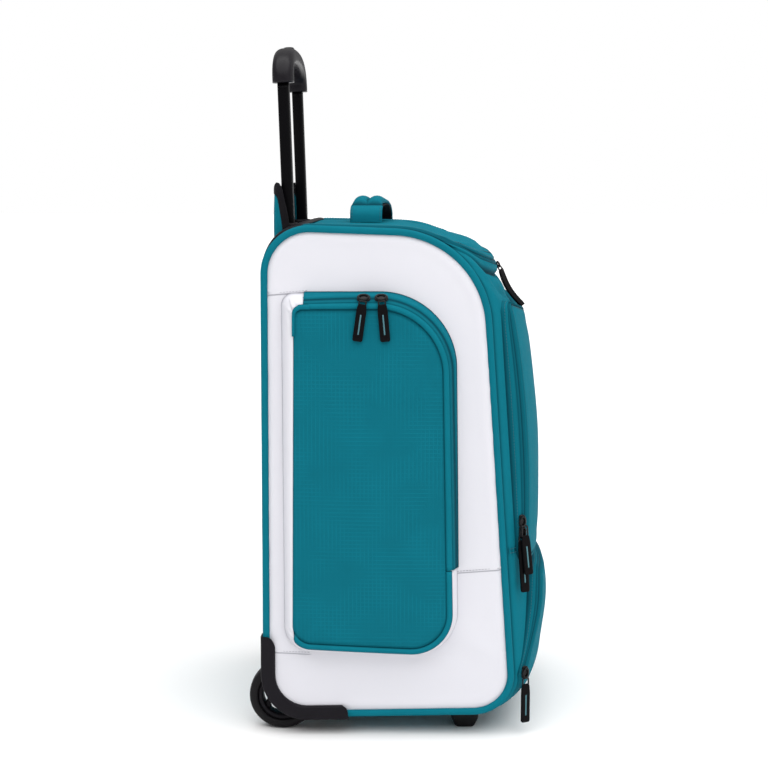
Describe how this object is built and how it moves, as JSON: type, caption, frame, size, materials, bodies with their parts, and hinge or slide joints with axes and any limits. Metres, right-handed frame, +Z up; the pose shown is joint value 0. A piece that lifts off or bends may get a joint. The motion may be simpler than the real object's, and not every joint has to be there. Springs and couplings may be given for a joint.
{
  "type": "wheeled sports equipment bag",
  "caption": "Upright wheeled softball equipment bag of teal and white cloth, with zipped pockets, a carry handle and a slide-up trolley handle.",
  "frame": {"origin": "on the floor, under the middle of the whole bag", "axes": "+Z up, +X to the front of the bag, +Y to its left side"},
  "size_m": [0.3612, 0.3762, 0.8083],
  "materials": {
    "teal_cloth": "woven polyester",
    "white_cloth": "coated cloth, satin",
    "black_cloth": "woven tape",
    "teal_zip": "zip tape, coil side hidden",
    "black_plastic": "moulded, satin",
    "black_metal": "black, satin",
    "black_rubber": "matt",
    "black_tyre": "matt, plain tread"
  },
  "bodies": {
    "bag": {"side_panel_right": "white_cloth", "side_panel_left": "white_cloth", "piping_right": "teal_cloth", "piping_left": "teal_cloth", "back_panel": "teal_cloth", "base_panel": "teal_cloth", "front_panel": "teal_cloth", "lid": "teal_cloth", "lid_zip": "teal_zip", "tube_guide_right": "black_metal", "tube_guide_left": "black_metal", "handle_housing": "black_plastic", "handle_hood": "teal_cloth", "hood_binding": "black_cloth", "carry_handle": "teal_cloth", "carry_handle_lining": "black_cloth", "side_pocket_right": "teal_cloth", "side_pocket_left": "teal_cloth", "side_pocket_gusset_right": "white_cloth", "side_pocket_gusset_left": "white_cloth", "side_zip_right": "teal_zip", "side_zip_left": "teal_zip", "front_pocket_upper": "teal_cloth", "front_zip_upper": "teal_zip", "front_pocket_lower": "teal_cloth", "front_zip_lower": "teal_zip", "axle_right": "black_metal", "axle_left": "black_metal", "wheel_housing_right": "black_plastic", "wheel_housing_left": "black_plastic", "foot_right": "black_rubber", "foot_left": "black_rubber", "slider_side_back_right": "black_metal", "slider_side_back_left": "black_metal", "slider_side_front_right": "black_metal", "slider_side_front_left": "black_metal", "slider_upper_top": "black_metal", "slider_upper_low": "black_metal", "slider_lower": "black_metal", "slider_lid": "black_metal", "pull_side_back_right": "black_rubber", "pull_side_back_left": "black_rubber", "pull_side_front_right": "black_rubber", "pull_side_front_left": "black_rubber", "pull_upper_top": "black_rubber", "pull_upper_low": "black_rubber", "pull_lower": "black_rubber", "pull_lid": "black_rubber"},
    "trolley_handle": {"handle_tube_right": "black_metal", "handle_tube_left": "black_metal", "grip": "black_plastic"},
    "grip_button": {"grip_button": "black_plastic"},
    "wheel_right": {"tyre_right": "black_tyre", "hub_right": "black_plastic"},
    "wheel_left": {"tyre_left": "black_tyre", "hub_left": "black_plastic"}
  },
  "joints": [
    {"name": "handle_slide", "type": "slide", "parent": "bag", "child": "trolley_handle", "axis": [-0.0319, 0, 0.9995], "range_m": [-0.155, 0]},
    {"name": "button_press", "type": "slide", "parent": "trolley_handle", "child": "grip_button", "axis": [-0.0319, 0, 0.9995], "range_m": [-0.003, 0], "stiffness_N_per_m": 300},
    {"name": "wheel_right_spin", "type": "hinge", "parent": "bag", "child": "wheel_right", "pos_m": [-0.1406, -0.134, 0.04], "axis": [0, 1, 0], "continuous": true},
    {"name": "wheel_left_spin", "type": "hinge", "parent": "bag", "child": "wheel_left", "pos_m": [-0.1406, 0.134, 0.04], "axis": [0, 1, 0], "continuous": true}
  ]
}
